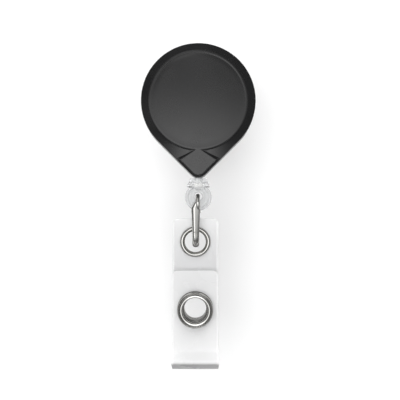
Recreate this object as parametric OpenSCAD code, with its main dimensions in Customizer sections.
// Retractable badge reel: drop-shaped case with a sprung spool inside, a belt clip behind,
// a clear cord end, a gated snap hook and a folded vinyl badge strap with a ring snap.
// Frame: X to the right, Y to the back, Z up. Origin on the spool axis, in the middle of the belt gap.
// Every piece is drawn lying flat (x right, y up, z to the front from the case's back face)
// and stood up by upright(). "Height" means y for the hanging parts and z inside the case.

/* [Case] */
// Diameter of the round part of the case
case_d = 31.8; // [30:0.1:34]
// Radius that rounds the case's lower tip
tip_r = 2.85; // [2.4:0.05:3.2]
// Side wall thickness
wall = 1.3; // [1.0:0.1:1.6]
// Thickness of the back floor
floor_t = 1.2; // [1.0:0.1:1.4]
// Height of the parting line above the back face, also the cord's height
cord_z = 4.1; // [4.0:0.05:4.2]
// Height at which the front bevel starts
bevel_z = 8.2; // [8.0:0.1:8.4]
// Height of the front disc's edge
disc_z = 9.2; // [9.0:0.1:9.6]
// Radius of the front disc
disc_r = 13.7; // [13:0.05:14.1]
// How far the disc's centre crowns above its edge
crown = 0.4; // [0.2:0.1:0.8]
// Width of the border left round the flat shield at the tip
shield_border = 0.8; // [0.6:0.05:1.1]

/* [Spool and spring] */
// Outer radius of the spool's flanges
flange_r = 14.1; // [13.6:0.1:14.2]
// Outer radius of the spool's hub
hub_r = 9.6; // [9:0.1:10]
// Radius of the fixed post that the spool turns on
post_r = 3.2; // [3:0.05:3.4]
// Radial running gap between post and spool
post_gap = 0.08; // [0.05:0.01:0.1]
// Number of turns in the mainspring
spring_turns = 9; // [6:1:10]
// Thickness of the mainspring strip
spring_t = 0.18; // [0.12:0.02:0.22]

/* [Cord and cord end] */
// Diameter of the cord
cord_d = 0.75; // [0.6:0.05:0.8]
// Radius of the flat round tab of the cord end
tab_r = 3.72; // [3.5:0.02:3.9]
// Thickness of the tab
tab_t = 2.2; // [1.8:0.1:2.4]
// Height of the tab's centre
tab_y = -26.67; // [-27:0.01:-26.4]
// Radius of the hole in the tab
tab_hole_r = 1.05; // [1.0:0.05:1.2]

/* [Hook] */
// Mean radius of the hook's rounded ends
hook_rho = 3.85; // [3.7:0.05:4.1]
// Height of the hook's lowest point on its centre line
hook_low = -39.9; // [-40.4:0.1:-39.6]
// Radius of the thin neck that goes through the tab
neck_r = 0.6; // [0.5:0.05:0.65]
// Bar thickness of the hook, front to back
hook_t = 1.4; // [1.2:0.1:1.5]
// Sideways place of the hook's bar
hook_x = -0.7; // [-0.8:0.05:-0.5]

/* [Strap] */
// Width of the strap
strap_w = 13; // [12:0.1:14]
// Thickness of the vinyl
strap_t = 0.5; // [0.4:0.05:0.6]
// Sideways place of the strap, which lies slack on the hook
strap_x = -0.85; // [-1:0.05:0]
// Height of the strap's top edge
strap_top = -32.6; // [-33:0.1:-32.4]
// Height of the fold's back corner
fold_y = -74.9; // [-76:0.1:-74]
// Height of the front lip of the fold
lip_y = -71.9; // [-72.4:0.1:-71.2]
// How far the lip stands in front of the back sheet
lip_out = 6.0; // [5:0.1:6.5]
// Height of the crease above the lip
crease_y = -69.4; // [-70:0.1:-69]
// Height of the flap's top edge
flap_top = -46.95; // [-48:0.05:-46]
// Distance between the two sheets at the snap, centre to centre
sheet_gap = 2.8; // [2.7:0.05:2.9]
// Corner radius of the strap's ends
corner_r = 1.7; // [1:0.1:2]

/* [Eyelet and snap] */
// Height of the eyelet's centre
eyelet_y = -39.15; // [-39.4:0.05:-39]
// Height of the snap's centre
snap_y = -57.6; // [-59:0.1:-57]
// Clear radius of the eyelet and of the snap
ring_bore = 3.1; // [3:0.05:3.2]

/* [Belt clip] */
// Width of the clip
clip_w = 13; // [11:0.5:14]
// Steel thickness of the clip
clip_t = 0.8; // [0.6:0.1:0.9]
// Outer radius of the clip's top bend
bend_r = 1.9; // [1.8:0.05:2.1]
// Height of the bend's centre
bend_y = 11.6; // [11:0.1:12]

/* [Hidden] */
$fn = 64;
eps = 0.01;

// Colours shared by several pieces
cord_white = [0.86, 0.86, 0.84];
bright_metal = [0.72, 0.71, 0.68];
dull_metal = [0.7, 0.69, 0.66];
clip_steel = [0.73, 0.73, 0.74];

// Case
case_r = case_d / 2;
cavity_r = case_r - wall;
cavity_tip_r = 1.2;
lip_r = cavity_r + 0.5;              // outer radius of the back shell's interlocking lip
back_bevel = 0.8;                    // bevel round the back face
post_bore_r = 2.5;
rivet_hole_r = 1.56;
mouth_y = tip_centre_y(case_r, tip_r) - tip_r; // lowest point of the case

// Spool, spring and cord
spool_z0 = floor_t + 0.3;            // spool's rear face
chan_z0 = spool_z0 + 0.7;            // cord channel, rear side
chan_z1 = 2 * cord_z - chan_z0;      // cord channel, front side
spool_z1 = chan_z1 + 0.8;            // spool's front face
roof_z = spool_z1 + 0.5;             // inside face of the front shell
hub_inner_r = hub_r - 1.0;
coil_r = hub_r + 2.05;               // outer radius of the wound cord
spring_r0 = post_r + 0.45;           // spring's innermost radius
spring_growth = hub_inner_r - post_r - 0.75; // from its innermost to its outermost radius
knot_y = -23.3;

// Hook
hook_top_y = tab_y + 0.4 - hook_rho; // centre of the hook's top end
bow_y = hook_low + hook_rho;         // centre of the hook's lower bow
neck_x = -0.16;
neck_y = tab_y + 0.4;                // height of the neck where it goes through the tab
neck_bend = 1.3;                     // radius of the neck's bends
shoulder_y = neck_y - 1.53;          // top of the shoulders below the neck
shoulder_half_w = 1.19;
bar_half_w = 0.92;                   // at the lower ends of the bars
bar_inset = 0.03;                    // how far the bars lie inside the nominal thickness
bar_t = hook_t - 2 * bar_inset;
pin_y = hook_top_y - 0.5;            // gate pivot
pin_hole_r = 0.36;
gate_z = cord_z - hook_rho;          // centre of the hook's rear side
hook_rear_z = gate_z - hook_t / 2;   // rear face of the hook's rear side

// Strap: faces of the back sheet and of the flap
flap_z = cord_z + sheet_gap;         // flap sheet's centre
back_rear_z = cord_z - strap_t / 2;
back_front_z = cord_z + strap_t / 2;
flap_rear_z = flap_z - strap_t / 2;
flap_front_z = flap_z + strap_t / 2;
lip_point = [cord_z + lip_out, lip_y]; // [z, y]
sheet_hole_r = 3.5;

// Belt clip
clip_z = -0.05;                      // clip's seat on the back
clip_rear_z = clip_z - clip_t;
head_z = clip_rear_z - 0.55;         // rear face of the rivet's head
tongue_z = clip_z - 2 * bend_r + clip_t; // inner (front) face of the clip's flat leg
gap_mid = (head_z + tongue_z) / 2;   // middle of the belt gap

// ---- shared helpers ----
module upright() { translate([0, gap_mid, 0]) rotate([90, 0, 0]) children(); }

// Turns the z axis to y, up the page
module about_y() { rotate([-90, 0, 0]) children(); }

// Cylinder along y between two heights
module post_y(r, y0, y1) { about_y() translate([0, 0, y0]) cylinder(h = y1 - y0, r = r); }

module tube(r_out, r_in, z0, z1) {
    translate([0, 0, z0]) difference() {
        cylinder(h = z1 - z0, r = r_out);
        translate([0, 0, -eps]) cylinder(h = z1 - z0 + 2 * eps, r = r_in);
    }
}

// Side view outline of [z, y] points, extruded sideways about x = 0
module side_profile(points, width) {
    rotate([0, -90, 0]) linear_extrude(width, center = true) polygon(points);
}

function ellipse_arc(centre, radii, angles) =
    [for (a = angles) centre + [radii.x * cos(a), radii.y * sin(a)]];

// ---- case ----
function tip_centre_y(r_big, r_tip) = -(r_big - r_tip) * sqrt(2);

// Drop outline: a circle with two flanks at 45 degrees that run into a small rounded tip
module drop2d(r_big, r_tip) {
    tip_y = tip_centre_y(r_big, r_tip);
    inset = 0.004;                   // keeps the flanks' corners inside the circles
    big = sqrt(0.5) * (r_big - inset);
    small = sqrt(0.5) * (r_tip - inset);
    circle(r = r_big);
    translate([0, tip_y]) circle(r = r_tip);
    polygon([[big, -big], [small, tip_y - small], [-small, tip_y - small], [-big, -big]]);
}

module drop(z0, z1, r_big, r_tip) {
    translate([0, 0, z0]) linear_extrude(z1 - z0) drop2d(r_big, r_tip);
}

// Kite-shaped shield at the tip, shrunk by border from the outline
module shield2d(border) {
    corner_y = -16.35;
    corner_x = (case_r - border) * sqrt(2) + corner_y; // on the shrunk flank
    hull() {
        translate([0, tip_centre_y(case_r, tip_r)]) circle(r = tip_r - border, $fn = 32);
        polygon([[0, -disc_r + 0.35], [corner_x, corner_y], [0, -16.8], [-corner_x, corner_y]]);
    }
}

// Thin layer of a 2D shape, to be hulled with another
module layer(z) { translate([0, 0, z]) linear_extrude(eps) children(); }

module mouth_hole() { translate([0, 0, cord_z]) post_y(0.62, mouth_y - 1, mouth_y + 3); }

// Chamfered edge and shallow dome of the front disc
module disc_dome() {
    edge_r = disc_r - 0.02;
    rotate_extrude() polygon(concat(
        [[0, disc_z - 0.1], [edge_r, disc_z - 0.1], [edge_r, disc_z + 0.02]],
        [for (i = [0:6]) let(out = 1 - i / 6)
            [(disc_r - 0.5) * out, disc_z + 0.25 + crown * (1 - out * out)]]));
}

module front_shell() {
    boss_h = 2.3;
    upright() color([0.16, 0.16, 0.165]) {
        difference() {
            union() {
                drop(cord_z, bevel_z, case_r, tip_r);
                hull() {
                    layer(bevel_z - eps) drop2d(case_r - eps, tip_r - eps);
                    layer(disc_z - eps) circle(r = disc_r);
                }
                hull() {
                    layer(bevel_z - eps) shield2d(0.03);
                    layer(disc_z - eps) shield2d(shield_border);
                }
                disc_dome();
            }
            drop(cord_z - 1, roof_z, cavity_r, cavity_tip_r);
            // recess for the back shell's lip
            drop(cord_z - 1, cord_z + 1.1, lip_r + 0.06, 1.7);
            mouth_hole();
        }
        // boss that enters the post
        translate([0, 0, roof_z - boss_h]) cylinder(h = boss_h + eps, r = post_bore_r - 0.08);
    }
}

module back_shell() {
    upright() color([0.13, 0.13, 0.135]) {
        difference() {
            union() {
                drop(back_bevel, cord_z, case_r, tip_r);
                hull() {
                    layer(0) drop2d(case_r - back_bevel, tip_r - back_bevel);
                    layer(back_bevel) drop2d(case_r - eps, tip_r - eps);
                }
                drop(cord_z - 0.5, cord_z + 1.0, lip_r, 1.66);
            }
            drop(floor_t, cord_z + 3, cavity_r, cavity_tip_r);
            translate([0, 0, -1]) cylinder(h = 4, r = rivet_hole_r);
            mouth_hole();
        }
        // post, with a slot for the spring's inner tail
        difference() {
            translate([0, 0, floor_t - eps]) cylinder(h = spool_z1 + 0.3 - floor_t, r = post_r);
            translate([0, 0, floor_t + 0.2]) cylinder(h = 9, r = post_bore_r);
            cylinder(h = 3, r = rivet_hole_r);
            rotate([0, 0, 180]) translate([2, -0.3, chan_z0])
                cube([2, 0.6, chan_z1 - chan_z0 + 0.2]);
        }
    }
}

// ---- spool, spring and wound cord ----
module spool() {
    bore_r = post_r + post_gap;
    collar_r = 4.3;
    collar_z = spool_z1 + 0.25;
    upright() color([0.82, 0.82, 0.8]) difference() {
        rotate_extrude() polygon([[bore_r, chan_z1], [bore_r, collar_z], [collar_r, collar_z],
            [collar_r, spool_z1], [flange_r, spool_z1], [flange_r, chan_z1], [hub_r, chan_z1],
            [hub_r, chan_z0], [flange_r, chan_z0], [flange_r, spool_z0],
            [hub_inner_r, spool_z0], [hub_inner_r, chan_z1]]);
        // notch that holds the spring's outer end
        rotate([0, 0, 180]) translate([hub_inner_r - 0.2, -0.3, spool_z0 + 0.6])
            cube([0.75, 0.6, 3.9]);
        // hole that anchors the cord's inner end
        rotate([0, 0, 130]) translate([hub_r + 1.2, 0, chan_z1 - 1]) cylinder(h = 3, r = 0.45);
        // lightening windows in the front web
        for (a = [0:60:300]) rotate([0, 0, a + 30])
            translate([6.3, 0, chan_z1 - 1]) cylinder(h = 3, r = 1.2);
    }
}

module spring_cover() {
    upright() color([0.7, 0.71, 0.73])
        tube(hub_inner_r - 0.05, post_r + 0.4, spool_z0, spool_z0 + 0.4);
}

// Radius of the spring's centre line at an angle, and a point beside that line
function spiral_r(angle) = spring_r0 + spring_growth * angle / (360 * spring_turns);
function spiral_point(angle, offset) = (spiral_r(angle) + offset) * [cos(angle), sin(angle)];

// Flat spiral strip, wound outwards clockwise as seen from the front,
// so that paying out cord winds it up
module mainspring() {
    z0 = spool_z0 + 0.7;
    strip_w = chan_z1 - 0.25 - z0;
    last = 360 * spring_turns;
    upright() color([0.45, 0.47, 0.5])
        mirror([0, 1, 0]) rotate([0, 0, 180]) translate([0, 0, z0]) {
            linear_extrude(strip_w) polygon(concat(
                [for (a = [0:18:last]) spiral_point(a, spring_t / 2)],
                [for (a = [last:-18:0]) spiral_point(a, -spring_t / 2)]));
            // inner tail in the post's slot, outer tail in the hub's notch
            translate([2.75, -0.01, 0.15]) cube([spiral_r(0) - 2.8, spring_t, strip_w - 0.3]);
            translate([spiral_r(last) - 0.05, -spring_t + 0.01, 0.1])
                cube([0.6, spring_t, strip_w - 0.2]);
        }
}

// Three layers of cord, five turns wide, drawn as one ribbed ring
module cord_coil() {
    turns = 5;
    pitch = (chan_z1 - chan_z0 - 0.05) / turns;
    rib_r = pitch / 2;
    z0 = chan_z0 + 0.025;
    inner_r = hub_r + 0.01;
    upright() color(cord_white) rotate_extrude() polygon(concat(
        [[inner_r, z0 + 0.1]],
        [for (i = [0:turns - 1])
            each ellipse_arc([coil_r - rib_r, z0 + pitch * (i + 0.5)], [rib_r, rib_r], [-70:20:70])],
        [[inner_r, z0 + turns * pitch - 0.1]]));
}

// Run of cord from the coil's tangent point to the mouth, then straight down to the knot
module cord_lead() {
    cord_r = cord_d / 2;
    lead_r = coil_r + cord_r + 0.03;
    turn_depth = 19;                 // depth below the spool axis where the cord turns straight
    tangent = [lead_r * sqrt(turn_depth * turn_depth - lead_r * lead_r) / turn_depth,
        -lead_r * lead_r / turn_depth];
    run = tangent + [0, turn_depth];
    // both runs overlap at the turn
    overlap = cord_r * tan(asin(lead_r / turn_depth) / 2) + 0.02;
    upright() color(cord_white) translate([0, 0, cord_z]) {
        translate([0, -turn_depth, 0]) rotate([0, 0, -atan2(run.x, run.y)])
            post_y(cord_r, -overlap, norm(run));
        post_y(cord_r, -22.56, -turn_depth + overlap);
    }
}

module cord_knot() {
    upright() color(cord_white) translate([0, knot_y, cord_z]) sphere(r = 0.7);
}

// ---- clear cord end ----
module cord_end() {
    plug_top = mouth_y - 0.07;
    upright() color([0.9, 0.92, 0.93, 0.5]) translate([0, 0, cord_z]) difference() {
        // round tab, flange, ring and core below the mouth
        union() {
            translate([0, tab_y, -tab_t / 2]) cylinder(h = tab_t, r = tab_r);
            post_y(3.15, -23.8, -22.75);
            about_y() tube(2.65, 2.15, -23, plug_top);
            post_y(1.2, -24.6, plug_top);
        }
        translate([0, tab_y + 0.3, -3]) cylinder(h = 6, r = tab_hole_r);
        // cord hole and knot pocket
        post_y(0.47, -22.9, -20);
        post_y(0.78, knot_y - 0.75, knot_y + 0.75);
    }
}

// ---- snap hook ----
module at_pivot() { translate([hook_x, pin_y, gate_z]) rotate([0, 90, 0]) children(); }

// Upright box centred on the hook's bar, between two heights
module hook_box(half_w, y0, y1, z0, thick) {
    translate([hook_x - half_w, y0, z0]) cube([2 * half_w, y1 - y0, thick]);
}

// Thin neck: up, a tight bend, back through the tab, and down again behind it
module hook_neck() {
    reach = hook_rho - neck_bend;
    for (m = [0, 1]) translate([neck_x, 0, cord_z]) mirror([0, 0, m]) {
        translate([0, neck_y - neck_bend, reach]) rotate([0, 90, 0]) rotate([0, 0, 90])
            rotate_extrude(angle = 90) translate([neck_bend, 0]) circle(r = neck_r, $fn = 32);
        translate([0, neck_y - neck_bend, hook_rho]) rotate([90, 0, 0])
            cylinder(h = 1.0, r = neck_r);
    }
    translate([neck_x, neck_y, cord_z]) cylinder(h = 2 * reach, r = neck_r, center = true);
}

// Front bar with its slanted shoulder, narrowing downwards
module hook_front_bar() {
    foot_y = bow_y - 0.35;
    translate([hook_x, 0, cord_z + hook_rho - hook_t / 2 + bar_inset]) linear_extrude(bar_t)
        polygon([[-shoulder_half_w, shoulder_y - 1.6], [-0.92, shoulder_y - 0.15],
            [-0.7, shoulder_y], [1.05, shoulder_y], [shoulder_half_w, shoulder_y - 0.2],
            [shoulder_half_w, shoulder_y - 1.6], [bar_half_w, foot_y], [-bar_half_w, foot_y]]);
}

module hook_bow() {
    translate([hook_x, bow_y, cord_z]) rotate([0, 90, 0]) rotate([0, 0, 180])
        rotate_extrude(angle = 180) translate([hook_rho, 0]) square([hook_t, 1.9], center = true);
}

// Two ears that hold the gate
module hook_ears() {
    ear_t = 0.44;
    for (side = [-1, 1]) translate([hook_x + side * 0.99, 0, 0]) hull() {
        translate([0, pin_y, gate_z]) rotate([0, 90, 0])
            cylinder(h = ear_t, r = 0.72, center = true, $fn = 32);
        translate([-ear_t / 2, hook_top_y + 0.45, hook_rear_z]) cube([ear_t, 0.3, hook_t]);
    }
}

module hook_frame() {
    upright() color(bright_metal) difference() {
        union() {
            hook_neck();
            hook_front_bar();
            // rear shoulder above the gate
            hook_box(shoulder_half_w, hook_top_y + 0.42, shoulder_y, hook_rear_z + bar_inset, bar_t);
            hook_bow();
            // nose and its thin tip behind the gate
            hook_box(bar_half_w, bow_y - 0.35, bow_y + 0.6, hook_rear_z + bar_inset, bar_t);
            hook_box(0.9, bow_y + 0.3, bow_y + 1.25, hook_rear_z + 0.06, 0.44);
            hook_ears();
        }
        at_pivot() cylinder(h = 4, r = pin_hole_r, center = true);
    }
}

module hook_gate() {
    upright() color([0.78, 0.77, 0.74]) difference() {
        union() {
            at_pivot() cylinder(h = 1.36, r = 0.62, center = true);
            hook_box(0.65, bow_y + 0.72, pin_y, gate_z - 0.16, 0.72);
        }
        at_pivot() cylinder(h = 4, r = pin_hole_r, center = true);
    }
}

module gate_pin() {
    upright() color(dull_metal) at_pivot() {
        cylinder(h = 2.56, r = pin_hole_r - 0.02, center = true);
        for (side = [-1, 1]) translate([0, 0, side * 1.31])
            cylinder(h = 0.14, r = 0.5, center = true);
    }
}

// ---- vinyl strap ----
function unit(v) = v / norm(v);
// Unit normal on the left of the way from one point to the next
function left_normal(from, to) = let(way = unit(to - from)) [-way.y, way.x];
// Offset from point i of a path to the left face of a sheet, mitred at the bends
function face_offset(path, i) = let(
    last = len(path) - 1,
    before = left_normal(path[max(i, 1) - 1], path[max(i, 1)]),
    after = left_normal(path[min(i, last - 1)], path[min(i, last - 1) + 1]))
    (before + after) / (1 + before * after) * strap_t / 2;

// Vinyl sheet whose middle follows a path of [z, y] points
module sheet(path) {
    last = len(path) - 1;
    side_profile(concat([for (i = [0:last]) path[i] + face_offset(path, i)],
        [for (i = [last:-1:0]) path[i] - face_offset(path, i)]), strap_w);
}

// Rounds the two upper corners of a sheet
module corner_cut(top_edge) {
    for (m = [0, 1]) mirror([m, 0, 0])
        translate([strap_w / 2 - corner_r, top_edge - corner_r, cord_z - 3]) difference() {
            cube([corner_r + 1, corner_r + 1, 12]);
            translate([0, 0, -1]) cylinder(h = 14, r = corner_r + 0.002);
        }
}

module strap_back() {
    foot = [cord_z, fold_y];
    // stops short of the flap's lower end
    stop = lip_point + unit(foot - lip_point) * (strap_t / 2 + 0.2);
    upright() color([0.93, 0.93, 0.93, 0.8]) translate([strap_x, 0, 0]) difference() {
        sheet([[cord_z, strap_top], foot, stop]);
        corner_cut(strap_top);
        translate([0, eyelet_y, 0]) cylinder(h = 9, r = sheet_hole_r);
        translate([0, snap_y, 0]) cylinder(h = 5.5, r = sheet_hole_r);
    }
}

module strap_flap() {
    upright() color([0.95, 0.95, 0.95, 0.8]) translate([strap_x, 0, 0]) difference() {
        sheet([lip_point, [flap_z, crease_y], [flap_z, flap_top]]);
        corner_cut(flap_top);
        translate([0, snap_y, 5]) cylinder(h = 5, r = sheet_hole_r);
    }
}

// ---- eyelet and ring snap ----
// Revolved part on the strap; profile points are [radius, distance in front of the seat]
module strap_ring(y, seat_z, profile) {
    translate([strap_x, y, seat_z]) rotate_extrude() polygon(profile);
}

module eyelet() {
    rim_r = ring_bore + 0.6;
    foot = -strap_t / 2 - 0.55;
    upright() color([0.74, 0.73, 0.7]) strap_ring(eyelet_y, back_front_z, concat(
        [[ring_bore + 0.35, foot], [ring_bore + 0.35, 0], [rim_r + 0.58, 0]],
        ellipse_arc([rim_r, 0.12], [0.58, 0.5], [0:15:180]),
        [[ring_bore, -0.1], [ring_bore, foot]]));
}

module eyelet_washer() {
    upright() color(bright_metal) strap_ring(eyelet_y, back_rear_z, [
        [ring_bore + 0.37, 0], [4.25, 0], [4.25, -0.15], [4.05, -0.4], [3.75, -0.55],
        [ring_bore + 0.1, -0.45], [ring_bore + 0.02, -0.32], [ring_bore + 0.37, -0.32]]);
}

// Ring and socket sit on the flap, stud and post on the back sheet
module snap_ring() {
    upright() color(bright_metal) strap_ring(snap_y, flap_front_z, concat(
        [[3.4, -1.45], [3.4, 0], [4.85, 0], [4.88, 0.2], [4.7, 0.38], [4.74, 0.62],
            [4.6, 0.76], [4.66, 1.16], [4.56, 1.36], [4.6, 1.8]],
        ellipse_arc([4.02, 2.05], [0.58, 0.55], [0:15:180]),
        [[3.34, 1.6], [3.42, 1.3], [3.28, 1.05], [3.34, 0.75], [3.2, 0.5], [3.24, 0.3],
            [ring_bore + 0.08, 0.1], [ring_bore + 0.14, -0.1], [ring_bore, -0.3],
            [ring_bore, -1.45]]));
}

module snap_socket() {
    upright() color(dull_metal) strap_ring(snap_y, flap_rear_z, [
        [3.42, 0], [4.85, 0], [4.85, -0.3], [4.7, -0.5], [4.7, -1.3], [4.5, -1.5], [4.2, -1.5],
        [4.05, -1.35], [4.05, -0.95], [4.15, -0.8], [4.15, -0.45], [3.42, -0.45]]);
}

module snap_stud() {
    upright() color(dull_metal) strap_ring(snap_y, back_front_z, [
        [3.42, 0], [4.75, 0], [4.75, 0.25], [4.6, 0.35], [3.85, 0.35], [3.8, 0.6], [3.92, 0.85],
        [3.92, 1.05], [3.7, 1.2], [3.25, 1.2], [3.15, 1.0], [3.42, 0.9]]);
}

module snap_post() {
    post_top = strap_t + 0.85;
    upright() color(dull_metal) strap_ring(snap_y, back_rear_z, [
        [ring_bore, -0.1], [ring_bore + 0.2, -0.35], [3.9, -0.55], [4.5, -0.4], [4.75, -0.15],
        [4.75, 0], [3.4, 0], [3.4, post_top], [ring_bore, post_top]]);
}

// ---- belt clip ----
module clip_base() {
    foot_y = -8;
    upright() color(clip_steel) difference() {
        translate([-clip_w / 2, foot_y, clip_rear_z])
            cube([clip_w, bend_y - 0.08 - foot_y, clip_t]);
        // bevels on the two lower corners
        for (side = [-1, 1]) translate([side * clip_w / 2, foot_y, clip_rear_z - 1])
            rotate([0, 0, 45]) cube([2.4, 2.4, 4], center = true);
        translate([0, 0, -4]) cylinder(h = 6, r = rivet_hole_r);
    }
}

// Bend and spring leg in one piece; the leg runs flat, dips towards the case and flares at the end
module clip_tongue() {
    half_t = [clip_t / 2, 0];
    // Leg's middle: [distance in front of the flat run's middle, y]
    leg = [[0, bend_y + 0.01], [0, -0.5], [1.65, -6.3], [1.8, -7.4], [1.5, -8.6], [0.5, -10.9]];
    upright() color(clip_steel) {
        translate([0, bend_y, clip_z - bend_r]) rotate([0, 90, 0]) translate([0, 0, -clip_w / 2])
            rotate_extrude(angle = 180) translate([bend_r - clip_t, 0]) square([clip_t, clip_w]);
        translate([0, 0, tongue_z - clip_t / 2]) side_profile(concat(
            [for (i = [0:5]) leg[i] + half_t], [for (i = [5:-1:0]) leg[i] - half_t]), clip_w);
    }
}

module clip_rivet() {
    head_r = 2.6;
    upright() color([0.68, 0.68, 0.69]) difference() {
        union() {
            // bevelled head, shank and the flange inside the case
            translate([0, 0, head_z]) cylinder(h = 0.35, r1 = 2.2, r2 = head_r);
            translate([0, 0, clip_rear_z - 0.21]) cylinder(h = 0.2, r = head_r);
            translate([0, 0, clip_rear_z - 0.3]) cylinder(h = floor_t + clip_t + 0.9, r = 1.5);
            translate([0, 0, floor_t + 0.22]) cylinder(h = 0.4, r = 2.35);
        }
        translate([0, 0, -3]) cylinder(h = 9, r = 0.85);
    }
}

front_shell();
back_shell();
spool();
spring_cover();
mainspring();
cord_coil();
cord_lead();
cord_knot();
cord_end();
hook_frame();
hook_gate();
gate_pin();
strap_back();
strap_flap();
eyelet();
eyelet_washer();
snap_ring();
snap_socket();
snap_stud();
snap_post();
clip_base();
clip_tongue();
clip_rivet();
